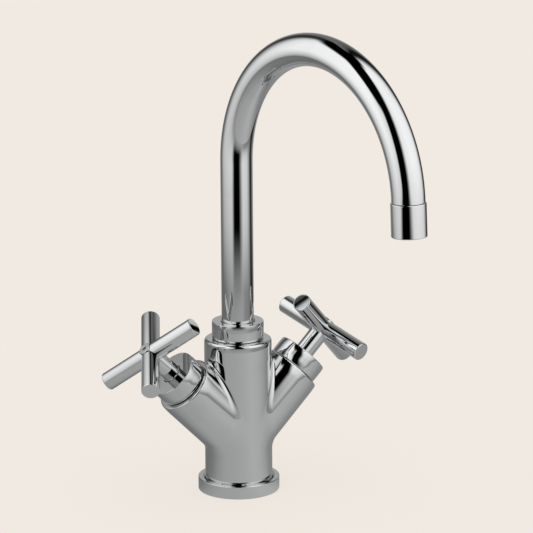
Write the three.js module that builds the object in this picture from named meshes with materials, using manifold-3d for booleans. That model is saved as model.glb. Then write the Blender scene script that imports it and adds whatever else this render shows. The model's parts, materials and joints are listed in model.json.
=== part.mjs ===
// A bathroom basin mixer: a Y-shaped body with two cross handles and a tall swivelling swan-neck spout.
// Millimetres, +Z up. The origin is on the deck, on the axis of the body; the handles lie along X.
import * as THREE from "three";
import { mergeVertices } from "three/addons/utils/BufferGeometryUtils.js";
import Module from "manifold-3d";

const wasm = await Module();
wasm.setup();

const { degToRad } = THREE.MathUtils;

// Column, foot and base ring
const BODY_RADIUS = 23;
const BODY_TOP = 107;
const FOOT_RADIUS = 24.5;
const FOOT_HEIGHT = 3;
const BASE_RING_RADIUS = 27.8;
const BASE_RING_HEIGHT = 9;
const SEAL_RADIUS = 22.2;
const SEAL_WIDTH = 2.4;
const SEAL_HEIGHT = 1.7;

// Sockets under the body for the two supply hoses and the fixing stud
const INLET_SPACING = 20;
const INLET_RADIUS = 5;
const INLET_DEPTH = 14;
const STUD_BACK = 11;
const STUD_RADIUS = 4;
const STUD_DEPTH = 15;

// Arms that carry the valves, measured along their own axes from the axis of the body
const ARM_ROOT_HEIGHT = 38;
const ARM_TILT = degToRad(45);
const ARM_RADIUS = 21;
const ARM_END = 59;
const VALVE_SEAT = 32;
const VALVE_BORE = 10.5;
const PASSAGE_RADIUS = 3.2;
const BONNET_RADIUS = 17.7;
const BONNET_FACE = 71.8;
const DISC_RADIUS = 8;
const SPINDLE_RADIUS = 4;

// Cross handles
const CROSS_CENTRE = 94;
const SPOKE_RADIUS = 6.45;
const SPOKE_REACH = 38.2;
const STEM_RADIUS = 6.75;
const HOT_REST_TURN = degToRad(-35.8);
const COLD_REST_TURN = degToRad(22.2);

// Spout, its bearing in the column and the collar that holds it down
const BEARING_RADIUS = 12.3;
const BEARING_FLOOR = 78;
const CHAMBER_RADIUS = 8;
const CHAMBER_FLOOR = 60;
const NECK_RADIUS = 15.5;
const NECK_TOP = 111;
const COLLAR_RADIUS = 17.65;
const COLLAR_TOP = 119;
const TUBE_RADIUS = 11;
const TUBE_WALL = 1.3;
const TUBE_FOOT = 113.6;
const RISER_TOP = 230.3;
const BEND_RADIUS = 88.2;
const BEND_ANGLE = degToRad(177.2);
const SPOUT_REST_TURN = degToRad(9.9);

// Aerator, measured along the flow from the mouth of the tube
const AERATOR_RADIUS = 11.75;
const AERATOR_LENGTH = 22.4;

// Clearances, edge breaks and how finely round pieces are divided
const GAP = 0.3;
const CHAMFER = 0.8;
const OVERRUN = 1;
const OUTER_SIDES = 36;
const BORE_SIDES = 20;
const INNER_SIDES = 14;
const TUBE_SIDES = 20;
const TUBE_STEPS = 28;
const WELD = 1e-3;

const FINISHES = {
  chrome: { color: 0xd6d8da, roughness: 0.06, metalness: 1 },
  brass: { color: 0xc7a452, roughness: 0.3, metalness: 1 },
  steel: { color: 0xa9abad, roughness: 0.35, metalness: 1 },
  rubber: { color: 0x1c1c1d, roughness: 0.8, metalness: 0 },
  ceramic: { color: 0xf1eee6, roughness: 0.25, metalness: 0 },
  plastic: { color: 0xe4e4df, roughness: 0.45, metalness: 0 },
  fibre: { color: 0x8d3a2a, roughness: 0.85, metalness: 0 },
  hotMark: { color: 0x3a0c0c, roughness: 0.3, metalness: 0 },
  coldMark: { color: 0x0c1634, roughness: 0.3, metalness: 0 },
};

// A piece turned about Z from a closed outline of [radius, height] points listed anticlockwise.
function turned(outline, sides = INNER_SIDES) {
  const points = outline.map(([radius, height]) => new THREE.Vector2(radius, height));
  return new THREE.LatheGeometry(points, sides).rotateX(Math.PI / 2);
}

function rod(radius, from, to, sides = INNER_SIDES) {
  return turned([[0, from], [radius, from], [radius, to], [0, to]], sides);
}

function ring(inner, outer, from, to, sides = INNER_SIDES) {
  return turned([[inner, from], [outer, from], [outer, to], [inner, to], [inner, from]], sides);
}

function roundRing(centreRadius, sectionRadius, height) {
  const ringGeometry = new THREE.TorusGeometry(centreRadius, sectionRadius, 6, INNER_SIDES);
  return ringGeometry.translate(0, 0, height);
}

function block(width, depth, height, x, y, z) {
  return new THREE.BoxGeometry(width, depth, height).translate(x, y, z);
}

function solidOf(geometry) {
  const bare = geometry.clone();
  bare.deleteAttribute("normal");
  bare.deleteAttribute("uv");
  const merged = mergeVertices(bare, WELD);
  const mesh = new wasm.Mesh({
    numProp: 3,
    vertProperties: merged.attributes.position.array,
    triVerts: new Uint32Array(merged.index.array),
  });
  return new wasm.Manifold(mesh);
}

function geometryOf(solid) {
  const mesh = solid.getMesh();
  const geometry = new THREE.BufferGeometry();
  geometry.setAttribute("position", new THREE.BufferAttribute(mesh.vertProperties, 3));
  geometry.setIndex(new THREE.BufferAttribute(mesh.triVerts, 1));
  geometry.computeVertexNormals();
  return geometry;
}

function joined(first, ...others) {
  return geometryOf(others.reduce((sum, next) => sum.add(solidOf(next)), solidOf(first)));
}

function cut(first, ...tools) {
  return geometryOf(tools.reduce((left, tool) => left.subtract(solidOf(tool)), solidOf(first)));
}

function piece(name, geometry, finish) {
  const mesh = new THREE.Mesh(geometry, new THREE.MeshStandardMaterial(FINISHES[finish]));
  mesh.name = name;
  return mesh;
}

// Moves a geometry from an arm's own axis, along Z, to its place in the body. Side is -1 or 1 along X.
function ontoArm(geometry, side) {
  return geometry.rotateY(side * ARM_TILT).translate(0, 0, ARM_ROOT_HEIGHT);
}

function bodyColumn() {
  return turned(
    [
      [0, 0],
      [FOOT_RADIUS, 0],
      [FOOT_RADIUS, FOOT_HEIGHT],
      [BODY_RADIUS, FOOT_HEIGHT],
      [BODY_RADIUS, BODY_TOP - CHAMFER],
      [BODY_RADIUS - CHAMFER, BODY_TOP],
      [NECK_RADIUS, BODY_TOP],
      [NECK_RADIUS, NECK_TOP],
      [0, NECK_TOP],
    ],
    OUTER_SIDES,
  );
}

function armBarrel(side) {
  const barrel = turned(
    [
      [0, 0],
      [ARM_RADIUS, 0],
      [ARM_RADIUS, ARM_END - CHAMFER],
      [ARM_RADIUS - CHAMFER, ARM_END],
      [0, ARM_END],
    ],
    OUTER_SIDES,
  );
  return ontoArm(barrel, side);
}

// Each side's water way: hose socket, riser, passage up the arm, valve bore and a way to the chamber.
function waterWay(side) {
  const inletX = (side * INLET_SPACING) / 2;
  const turnAlongArm = INLET_SPACING / 2 / Math.sin(ARM_TILT);
  const turnHeight = ARM_ROOT_HEIGHT + INLET_SPACING / 2 / Math.tan(ARM_TILT);
  const outletHeight = CHAMBER_FLOOR + CHAMBER_RADIUS;
  const outlet = rod(PASSAGE_RADIUS, 0, INLET_SPACING).rotateY((side * Math.PI) / 2);
  return [
    rod(INLET_RADIUS, -OVERRUN, INLET_DEPTH).translate(inletX, 0, 0),
    rod(PASSAGE_RADIUS, INLET_DEPTH - OVERRUN, turnHeight + OVERRUN).translate(inletX, 0, 0),
    ontoArm(rod(PASSAGE_RADIUS, turnAlongArm - OVERRUN, VALVE_SEAT + OVERRUN), side),
    ontoArm(rod(VALVE_BORE, VALVE_SEAT, ARM_END + OVERRUN, BORE_SIDES), side),
    outlet.translate(0, 0, outletHeight),
  ];
}

function bodyCasting() {
  const blank = joined(bodyColumn(), armBarrel(-1), armBarrel(1));
  return cut(
    blank,
    rod(BEARING_RADIUS, BEARING_FLOOR, NECK_TOP + OVERRUN, BORE_SIDES),
    rod(CHAMBER_RADIUS, CHAMBER_FLOOR, BEARING_FLOOR + OVERRUN),
    ...waterWay(-1),
    ...waterWay(1),
    rod(STUD_RADIUS, -OVERRUN, STUD_DEPTH).translate(0, STUD_BACK, 0),
    ring(SEAL_RADIUS - SEAL_WIDTH - GAP, SEAL_RADIUS + GAP, -OVERRUN, SEAL_HEIGHT + GAP, OUTER_SIDES),
  );
}

function baseRing() {
  return turned(
    [
      [FOOT_RADIUS + GAP, 0],
      [BASE_RING_RADIUS, 0],
      [BASE_RING_RADIUS, BASE_RING_HEIGHT - CHAMFER],
      [BASE_RING_RADIUS - CHAMFER, BASE_RING_HEIGHT],
      [BODY_RADIUS + GAP, BASE_RING_HEIGHT],
      [BODY_RADIUS + GAP, FOOT_HEIGHT + GAP],
      [FOOT_RADIUS + GAP, FOOT_HEIGHT + GAP],
      [FOOT_RADIUS + GAP, 0],
    ],
    OUTER_SIDES,
  );
}

function spoutCollar() {
  const cavityTop = TUBE_FOOT;
  const cavityRadius = NECK_RADIUS + GAP;
  const lipRadius = TUBE_RADIUS + GAP;
  const recessDepth = 1;
  return turned(
    [
      [cavityRadius, BODY_TOP + GAP],
      [COLLAR_RADIUS, BODY_TOP + GAP],
      [COLLAR_RADIUS, COLLAR_TOP - CHAMFER],
      [COLLAR_RADIUS - CHAMFER, COLLAR_TOP],
      [lipRadius + recessDepth, COLLAR_TOP],
      [lipRadius, COLLAR_TOP - recessDepth],
      [lipRadius, cavityTop],
      [cavityRadius, cavityTop],
      [cavityRadius, BODY_TOP + GAP],
    ],
    OUTER_SIDES,
  );
}

function fixedPieces() {
  const washerTop = BEARING_FLOOR + 2;
  const washer = ring(CHAMBER_RADIUS + 2 * GAP, BEARING_RADIUS - GAP, BEARING_FLOOR + GAP, washerTop);
  const fixed = new THREE.Group();
  fixed.add(
    piece("body_casting", bodyCasting(), "chrome"),
    piece("base_ring", baseRing(), "chrome"),
    piece("base_seal", ring(SEAL_RADIUS - SEAL_WIDTH, SEAL_RADIUS, 0, SEAL_HEIGHT, OUTER_SIDES), "rubber"),
    piece("spout_collar", spoutCollar(), "chrome"),
    piece("spout_thrust_washer", washer, "plastic"),
  );
  return fixed;
}

// Ceramic-disc headwork, measured along the arm. The discs meet at discMeet.
const discMeet = 38.15;
const discThickness = 2.8;
const discWindow = 5;
const headworkFlange = ARM_END + 1.6;
const headworkTop = BONNET_FACE - 1.8;
const grooveDepth = 0.9;
const sealGrooveFrom = 54;
const sealGrooveWidth = 2.2;

function headworkBody() {
  const foot = VALVE_SEAT + 2.6;
  const chamberRadius = DISC_RADIUS + 0.4;
  const chamberWall = 0.9;
  const chamberTop = 44.5;
  const threadFrom = chamberTop + 2;
  const necking = headworkFlange + 1;
  const neckRadius = 7.4;
  const spindleBore = SPINDLE_RADIUS + 1;
  const barrel = turned([
    [chamberRadius, foot],
    [chamberRadius + chamberWall, foot],
    [chamberRadius + chamberWall, threadFrom],
    [VALVE_BORE - GAP, threadFrom],
    [VALVE_BORE - GAP, necking],
    [neckRadius, necking],
    [neckRadius, headworkTop],
    [spindleBore, headworkTop],
    [spindleBore, chamberTop],
    [chamberRadius, chamberTop],
    [chamberRadius, foot],
  ]);
  const hexagonRadius = 14;
  const hexagonHeight = 5.4;
  const hexagonSides = 6;
  const hexagonBore = neckRadius - 0.4;
  const hexagonTop = headworkFlange + hexagonHeight;
  const hexagon = ring(hexagonBore, hexagonRadius, headworkFlange, hexagonTop, hexagonSides);
  const windowHeight = 4;
  const window = block(discWindow, 3 * DISC_RADIUS, windowHeight, 0, 0, discMeet + discThickness / 2);
  return cut(joined(barrel, hexagon), window);
}

function headworkGasket() {
  const width = 2.8;
  const thickness = 1;
  const inner = VALVE_BORE + GAP;
  return ring(inner, inner + width, ARM_END + GAP, ARM_END + GAP + thickness);
}

function seatSeal() {
  const waterHole = 4.5;
  const thickness = 2.6;
  return ring(waterHole, DISC_RADIUS, VALVE_SEAT + GAP, VALVE_SEAT + GAP + thickness);
}

function fixedDisc() {
  const portRadius = 2.2;
  const portSides = 12;
  const portReach = 4.6;
  const port = rod(portRadius, VALVE_SEAT, discMeet + OVERRUN, portSides);
  return cut(
    rod(DISC_RADIUS, discMeet - discThickness - GAP / 2, discMeet - GAP / 2),
    port.clone().translate(portReach, 0, 0),
    port.translate(-portReach, 0, 0),
  );
}

// The turning disc is shut at rest: its notches lie a quarter turn from the ports.
function turningDisc() {
  const notchLength = 6;
  const notchHeight = 2 * discThickness;
  const notch = block(discWindow, notchLength, notchHeight, 0, DISC_RADIUS - 1, discMeet + discThickness / 2);
  return cut(
    rod(DISC_RADIUS, discMeet + GAP / 2, discMeet + discThickness + GAP / 2),
    notch,
    notch.clone().rotateZ(Math.PI),
  );
}

function bonnetRing() {
  const faceThickness = 1.5;
  const wallThickness = 3;
  const foot = ARM_END + 2 * GAP;
  const faceInside = BONNET_FACE - faceThickness;
  const wallRadius = BONNET_RADIUS - wallThickness;
  return turned(
    [
      [wallRadius, foot],
      [BONNET_RADIUS, foot],
      [BONNET_RADIUS, BONNET_FACE - CHAMFER],
      [BONNET_RADIUS - CHAMFER, BONNET_FACE],
      [STEM_RADIUS + GAP, BONNET_FACE],
      [STEM_RADIUS + GAP, faceInside],
      [wallRadius, faceInside],
      [wallRadius, foot],
    ],
    OUTER_SIDES,
  );
}

function spindle() {
  const foot = discMeet + discThickness + 2 * GAP;
  const footRadius = DISC_RADIUS - 0.2;
  const footTop = 44.2;
  const sealTo = sealGrooveFrom + sealGrooveWidth;
  const clipTo = headworkTop + 1.5;
  const clipGroove = SPINDLE_RADIUS - 0.6;
  const top = CROSS_CENTRE - 10;
  const screwHole = 2.2;
  const screwHoleFloor = top - 9;
  return turned([
    [0, foot],
    [footRadius, foot],
    [footRadius, footTop],
    [SPINDLE_RADIUS, footTop],
    [SPINDLE_RADIUS, sealGrooveFrom],
    [SPINDLE_RADIUS - grooveDepth, sealGrooveFrom],
    [SPINDLE_RADIUS - grooveDepth, sealTo],
    [SPINDLE_RADIUS, sealTo],
    [SPINDLE_RADIUS, headworkTop],
    [clipGroove, headworkTop],
    [clipGroove, clipTo],
    [SPINDLE_RADIUS, clipTo],
    [SPINDLE_RADIUS, top],
    [screwHole, top],
    [screwHole, screwHoleFloor],
    [0, screwHoleFloor],
  ]);
}

function spindleSeal() {
  const sectionRadius = 0.7;
  return roundRing(SPINDLE_RADIUS + 0.1, sectionRadius, sealGrooveFrom + sealGrooveWidth / 2);
}

function spindleClip() {
  const inner = SPINDLE_RADIUS - GAP;
  const outer = SPINDLE_RADIUS + 1.6;
  const band = ring(inner, outer, headworkTop + GAP, headworkTop + 1.2);
  const slot = block(3, 4, 4, SPINDLE_RADIUS + 1, 0, headworkTop);
  return cut(band, slot);
}

function spoke() {
  const bevel = 0.6;
  return turned(
    [
      [0, -SPOKE_REACH],
      [SPOKE_RADIUS - bevel, -SPOKE_REACH],
      [SPOKE_RADIUS, bevel - SPOKE_REACH],
      [SPOKE_RADIUS, SPOKE_REACH - bevel],
      [SPOKE_RADIUS - bevel, SPOKE_REACH],
      [0, SPOKE_REACH],
    ],
    BORE_SIDES,
  ).rotateX(Math.PI / 2);
}

const screwSeat = CROSS_CENTRE + 0.75;
const capFrom = screwSeat + 3;
const capTop = CROSS_CENTRE + SPOKE_RADIUS + 0.6;
const capRadius = 4.4;
const dotRadius = 1.2;
const screwRadius = 1.9;

function crossHandle() {
  const spindleSocketTop = CROSS_CENTRE - 8;
  const screwHole = screwRadius + 0.4;
  const across = spoke().translate(0, 0, CROSS_CENTRE);
  const along = spoke().rotateZ(Math.PI / 2).translate(0, 0, CROSS_CENTRE);
  const stem = rod(STEM_RADIUS, BONNET_FACE + GAP, CROSS_CENTRE, BORE_SIDES);
  return cut(
    joined(across, along, stem),
    rod(SPINDLE_RADIUS + GAP, BONNET_FACE - OVERRUN, spindleSocketTop),
    rod(screwHole, BONNET_FACE, CROSS_CENTRE + OVERRUN),
    rod(capRadius + GAP, screwSeat, capTop + OVERRUN),
  );
}

function handleScrew() {
  const headRadius = 3.6;
  const headTop = screwSeat + 2.5;
  const headBevel = 0.5;
  const tip = CROSS_CENTRE - 16;
  const slotWidth = 1;
  const screw = turned([
    [0, tip],
    [screwRadius, tip],
    [screwRadius, screwSeat + GAP],
    [headRadius, screwSeat + GAP],
    [headRadius, headTop - headBevel],
    [headRadius - headBevel, headTop],
    [0, headTop],
  ]);
  return cut(screw, block(2 * headRadius, slotWidth, 2 * slotWidth, 0, 0, headTop));
}

function indexCap() {
  const bevel = 0.5;
  const recessRadius = dotRadius + GAP;
  const recessFloor = capTop - 2 * GAP;
  return turned([
    [0, capFrom],
    [capRadius, capFrom],
    [capRadius, capTop - bevel],
    [capRadius - bevel, capTop],
    [recessRadius, capTop],
    [recessRadius, recessFloor],
    [0, recessFloor],
  ]);
}

function indexDot() {
  return rod(dotRadius, capTop - GAP, capTop);
}

// Everything on one arm. The handle's pieces share a group that is turned to the handle's rest position.
function valve(prefix, side, restTurn) {
  const arm = new THREE.Group();
  arm.position.z = ARM_ROOT_HEIGHT;
  arm.rotation.y = side * ARM_TILT;
  arm.add(
    piece(`${prefix}_bonnet_ring`, bonnetRing(), "chrome"),
    piece(`${prefix}_headwork_body`, headworkBody(), "brass"),
    piece(`${prefix}_headwork_gasket`, headworkGasket(), "fibre"),
    piece(`${prefix}_seat_seal`, seatSeal(), "rubber"),
    piece(`${prefix}_fixed_disc`, fixedDisc(), "ceramic"),
    piece(`${prefix}_turning_disc`, turningDisc(), "ceramic"),
    piece(`${prefix}_spindle`, spindle(), "brass"),
    piece(`${prefix}_spindle_seal`, spindleSeal(), "rubber"),
    piece(`${prefix}_spindle_clip`, spindleClip(), "steel"),
  );
  const handle = new THREE.Group();
  handle.rotation.z = restTurn;
  handle.add(
    piece(`${prefix}_cross_handle`, crossHandle(), "chrome"),
    piece(`${prefix}_handle_screw`, handleScrew(), "steel"),
    piece(`${prefix}_index_cap`, indexCap(), "chrome"),
    piece(`${prefix}_index_dot`, indexDot(), `${prefix}Mark`),
  );
  arm.add(handle);
  return arm;
}

// The spout's centre line: straight up the riser, then round the bend towards -Y.
class SwanNeck extends THREE.Curve {
  getPoint(t, target = new THREE.Vector3()) {
    const riserLength = RISER_TOP - TUBE_FOOT;
    const along = t * (riserLength + BEND_RADIUS * BEND_ANGLE);
    if (along < riserLength) return target.set(0, 0, TUBE_FOOT + along);
    const turn = (along - riserLength) / BEND_RADIUS;
    const reach = BEND_RADIUS * (1 - Math.cos(turn));
    return target.set(0, -reach, RISER_TOP + BEND_RADIUS * Math.sin(turn));
  }
}

function spoutTube() {
  const section = new THREE.Shape().absarc(0, 0, TUBE_RADIUS, 0, 2 * Math.PI);
  section.holes.push(new THREE.Path().absarc(0, 0, TUBE_RADIUS - TUBE_WALL, 0, 2 * Math.PI));
  return new THREE.ExtrudeGeometry(section, {
    steps: TUBE_STEPS,
    curveSegments: TUBE_SIDES / 2,
    extrudePath: new SwanNeck(),
  });
}

// Grooves in the nipple, from and to: one for each seal, and the slip ring's between them.
const lowerSealGroove = [84, 86.2];
const slipRingGroove = [90, 98];
const upperSealGroove = [102, 104.2];

// The hollow nipple turns in the column's bearing.
function spoutNipple() {
  const outer = BEARING_RADIUS - 0.4;
  const groove = BEARING_RADIUS - 2.2;
  const inner = 7.5;
  const foot = BEARING_FLOOR + 2.3;
  const flangeRadius = NECK_RADIUS - 0.7;
  const flangeFrom = NECK_TOP + GAP;
  const flangeTo = TUBE_FOOT - GAP;
  const spigotRadius = TUBE_RADIUS - TUBE_WALL - GAP;
  const spigotTop = flangeTo + 14;
  const grooves = [lowerSealGroove, slipRingGroove, upperSealGroove];
  const grooveOutline = grooves.flatMap(([from, to]) => [
    [outer, from],
    [groove, from],
    [groove, to],
    [outer, to],
  ]);
  return turned(
    [
      [inner, foot],
      [outer, foot],
      ...grooveOutline,
      [outer, flangeFrom],
      [flangeRadius, flangeFrom],
      [flangeRadius, flangeTo],
      [spigotRadius, flangeTo],
      [spigotRadius, spigotTop],
      [inner, spigotTop],
      [inner, foot],
    ],
    BORE_SIDES,
  );
}

function nippleSeal([from, to]) {
  const sectionRadius = 0.75;
  return roundRing(BEARING_RADIUS - 1.15, sectionRadius, (from + to) / 2);
}

function slipRing([from, to]) {
  const clearance = 0.4;
  return ring(BEARING_RADIUS - 1.8, BEARING_RADIUS - GAP, from + clearance, to - clearance);
}

function aeratorHousing() {
  const threadRadius = TUBE_RADIUS - TUBE_WALL - 0.7;
  const threadBore = 7.6;
  const threadEnd = -5;
  const shoulder = 0.5;
  const shoulderBevel = 0.3;
  const mouthBevel = 0.5;
  const mouthRadius = 8.8;
  const lip = 1.2;
  const cavityRadius = 9.7;
  const cavityFloor = 4;
  return turned(
    [
      [threadBore, threadEnd],
      [threadRadius, threadEnd],
      [threadRadius, shoulder],
      [AERATOR_RADIUS - shoulderBevel, shoulder],
      [AERATOR_RADIUS, shoulder + shoulderBevel],
      [AERATOR_RADIUS, AERATOR_LENGTH - mouthBevel],
      [AERATOR_RADIUS - mouthBevel, AERATOR_LENGTH],
      [mouthRadius, AERATOR_LENGTH],
      [mouthRadius, AERATOR_LENGTH - lip],
      [cavityRadius, AERATOR_LENGTH - lip],
      [cavityRadius, cavityFloor],
      [threadBore, cavityFloor],
      [threadBore, threadEnd],
    ],
    TUBE_SIDES,
  );
}

// A disc with a circle of water holes through it.
function drilledDisc(radius, from, to, holeRadius, circleRadius) {
  const count = 8;
  const holes = [];
  for (let i = 0; i < count; i++) {
    const hole = rod(holeRadius, from - OVERRUN, to + OVERRUN, count).translate(circleRadius, 0, 0);
    holes.push(hole.rotateZ((i / count) * 2 * Math.PI));
  }
  return cut(rod(radius, from, to), ...holes);
}

// The aerator's pieces lie one behind the other, measured along the flow.
function aerator() {
  const radius = 9.3;
  const washerBore = 6.2;
  const insertHole = 1.5;
  const insertCircle = 5.6;
  const screenHole = 1.2;
  const screenCircle = 4.6;
  const flow = new THREE.Group();
  flow.position.copy(new SwanNeck().getPoint(1));
  flow.rotation.x = BEND_ANGLE;
  flow.add(
    piece("aerator_housing", aeratorHousing(), "chrome"),
    piece("aerator_washer", ring(washerBore, radius, 4.3, 5.8), "rubber"),
    piece("aerator_insert", drilledDisc(radius, 6.1, 17, insertHole, insertCircle), "plastic"),
    piece("aerator_screen", drilledDisc(radius, 17.3, 18.4, screenHole, screenCircle), "steel"),
  );
  return flow;
}

function spout() {
  const turning = new THREE.Group();
  turning.rotation.z = SPOUT_REST_TURN;
  turning.add(
    piece("spout_tube", spoutTube(), "chrome"),
    piece("spout_nipple", spoutNipple(), "brass"),
    piece("spout_lower_seal", nippleSeal(lowerSealGroove), "rubber"),
    piece("spout_upper_seal", nippleSeal(upperSealGroove), "rubber"),
    piece("spout_slip_ring", slipRing(slipRingGroove), "plastic"),
    aerator(),
  );
  return turning;
}

const mixer = new THREE.Group();
mixer.add(
  fixedPieces(),
  valve("hot", -1, HOT_REST_TURN),
  valve("cold", 1, COLD_REST_TURN),
  spout(),
);

export default mixer;
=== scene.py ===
import json
import math

import bpy
import numpy as np
from mathutils import Matrix, Vector


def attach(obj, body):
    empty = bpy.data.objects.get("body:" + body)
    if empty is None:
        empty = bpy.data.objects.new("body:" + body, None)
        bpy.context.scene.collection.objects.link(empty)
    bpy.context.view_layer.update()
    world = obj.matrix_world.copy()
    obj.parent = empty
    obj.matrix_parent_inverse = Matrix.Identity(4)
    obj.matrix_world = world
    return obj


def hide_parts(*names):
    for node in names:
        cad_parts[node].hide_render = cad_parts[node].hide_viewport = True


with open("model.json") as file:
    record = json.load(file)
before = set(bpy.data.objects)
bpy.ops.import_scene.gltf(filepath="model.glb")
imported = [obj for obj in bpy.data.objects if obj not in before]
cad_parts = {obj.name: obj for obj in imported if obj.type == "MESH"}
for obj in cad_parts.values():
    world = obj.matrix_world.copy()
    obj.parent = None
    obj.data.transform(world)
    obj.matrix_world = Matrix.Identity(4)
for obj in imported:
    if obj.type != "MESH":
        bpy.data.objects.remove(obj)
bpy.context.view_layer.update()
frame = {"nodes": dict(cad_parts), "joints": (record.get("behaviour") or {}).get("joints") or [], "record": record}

mm = 0.001

# Places taken from the frame.
joints = {joint["name"]: joint for joint in frame["joints"]}


def armPlace(side, turn=0.0):
    # The frame of one arm: its axis is Z, and the deck's Y stays Y.
    joint = joints[side + "_handle_turn"]
    along = Vector(joint["axis"]).normalized()
    across = Vector((0, 1, 0))
    sideways = across.cross(along)
    turned = Matrix((sideways, across, along)).transposed().to_4x4()
    return Matrix.Translation(joint["pos_m"]) @ turned @ Matrix.Rotation(turn, 4, "Z")


# Modelling helpers.
rounding = {"steps": 5, "reachShare": 0.45, "hold": 0.06, "holdShare": 0.04}
smoothUpTo = {"turned": math.radians(35), "joined": math.radians(30)}
mergeWithin = 1e-7
onSurfaceWithin = 0.02 * mm
facingAlike = {"handle": 0.9, "casting": 0.85}


def deselectAll():
    if bpy.context.object and bpy.context.object.mode != "OBJECT":
        bpy.ops.object.mode_set(mode="OBJECT")
    bpy.ops.object.select_all(action="DESELECT")


def only(piece):
    deselectAll()
    piece.select_set(True)
    bpy.context.view_layer.objects.active = piece


def softened(outline, radius, closed):
    # Rounds each corner of an outline of (radius, height) points with an arc.
    # A close point on each side of the arc holds the flats flat.
    steps, share, holdShare = rounding["steps"], rounding["reachShare"], rounding["holdShare"]
    count = len(outline)
    points = []
    for i, here in enumerate(outline):
        here = Vector(here)
        if not closed and i in (0, count - 1):
            points.append(here)
            continue
        before = Vector(outline[i - 1]) - here
        after = Vector(outline[(i + 1) % count]) - here
        angle = before.angle(after)
        reach = min(radius / math.tan(angle / 2), share * before.length, share * after.length)
        arcRadius = reach * math.tan(angle / 2)
        start = here + before.normalized() * reach
        end = here + after.normalized() * reach
        inward = (before.normalized() + after.normalized()).normalized()
        middle = here + inward * arcRadius / math.sin(angle / 2)
        hold = min(rounding["hold"] * mm, holdShare * before.length, holdShare * after.length)
        points.append(start + before.normalized() * hold)
        first = start - middle
        sweep = first.angle_signed(end - middle)
        for step in range(steps + 1):
            hand = first.copy()
            hand.rotate(Matrix.Rotation(-sweep * step / steps, 2))
            points.append(middle + hand)
        points.append(end + after.normalized() * hold)
    return points


def rolledWall(radius, low, high, drop, run, steps=5):
    # The outline of an outer wall that the polishing wheel has rolled off towards both ends.
    foot = [(radius - drop * (1 - i / steps) ** 2, low + run * i / steps) for i in range(steps + 1)]
    head = [(r, low + high - z) for r, z in reversed(foot)]
    return foot + head


def turnedPiece(name, outline, soft=0.4, closed=False, sides=128, place=None):
    # A round piece, drawn out of one circle by extruding and scaling it along its outline.
    points = softened([(r * mm, z * mm) for r, z in outline], soft * mm, closed)
    if closed:
        points.append(points[0])
    deselectAll()
    bpy.ops.mesh.primitive_circle_add(
        vertices=sides,
        radius=points[0].x,
        fill_type="NOTHING" if closed else "NGON",
        location=(0, 0, points[0].y),
    )
    piece = bpy.context.object
    piece.name = name
    bpy.ops.object.transform_apply(location=True, rotation=False, scale=False)
    bpy.ops.object.mode_set(mode="EDIT")
    bpy.ops.mesh.select_all(action="SELECT")
    for here, there in zip(points, points[1:]):
        bpy.ops.mesh.extrude_region_move(TRANSFORM_OT_translate={"value": (0, 0, there.y - here.y)})
        size = there.x / here.x
        bpy.ops.transform.resize(value=(size, size, 1), center_override=(0, 0, 0))
    bpy.ops.mesh.select_all(action="SELECT")
    bpy.ops.mesh.remove_doubles(threshold=mergeWithin)
    bpy.ops.mesh.normals_make_consistent(inside=False)
    bpy.ops.object.mode_set(mode="OBJECT")
    bpy.ops.object.shade_smooth_by_angle(angle=smoothUpTo["turned"])
    if place is not None:
        settle(piece, place)
    return piece


def settle(piece, place):
    # Moves a piece to its place and leaves the place in its mesh.
    only(piece)
    piece.matrix_world = place
    bpy.ops.object.transform_apply(location=True, rotation=True, scale=True)


def combine(piece, tool, operation):
    only(piece)
    change = piece.modifiers.new(operation.lower(), "BOOLEAN")
    change.operation = operation
    change.object = tool
    change.solver = "EXACT"
    bpy.ops.object.modifier_apply(modifier=change.name)
    bpy.data.objects.remove(tool)


def meshPoints(mesh):
    points = np.empty(len(mesh.vertices) * 3)
    mesh.vertices.foreach_get("co", points)
    return points.reshape(-1, 3)


def layNormals(piece, surfaces, alike):
    # Each surface says which points lie on it and which way it faces there. The faces on it that face nearly
    # the same way get its normals, so that they mirror without ripples.
    mesh = piece.data
    corners = np.empty(len(mesh.loops), int)
    mesh.loops.foreach_get("vertex_index", corners)
    normals = np.empty(len(mesh.loops) * 3)
    mesh.corner_normals.foreach_get("vector", normals)
    normals = normals.reshape(-1, 3)
    for onSurface, outward in surfaces:
        for face in mesh.polygons:
            span = slice(face.loop_start, face.loop_start + face.loop_total)
            held = corners[span]
            if onSurface[held].all() and outward[held].mean(0) @ np.array(face.normal) > alike:
                normals[span] = outward[held]
    mesh.normals_split_custom_set(normals.tolist())


def trueBarrels(piece, barrels):
    # The round stretches of a joined piece get the normals of true cylinders.
    only(piece)
    bpy.ops.object.shade_smooth_by_angle(angle=smoothUpTo["joined"])
    points = meshPoints(piece.data)
    surfaces = []
    for centre, direction, radius in barrels:
        direction = np.array(Vector(direction).normalized())
        offset = points - np.array(centre)
        radial = offset - np.outer(offset @ direction, direction)
        distance = np.linalg.norm(radial, axis=1)
        outward = radial / np.maximum(distance, 1e-9)[:, None]
        surfaces.append((abs(distance - radius) < onSurfaceWithin, outward))
    layNormals(piece, surfaces, facingAlike["handle"])


def finished(piece, body, slotName, material, *nodes):
    piece.data.materials.clear()
    piece.data.materials.append(material)
    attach(piece, body)
    if nodes:
        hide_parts(*nodes)
    return piece


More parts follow.
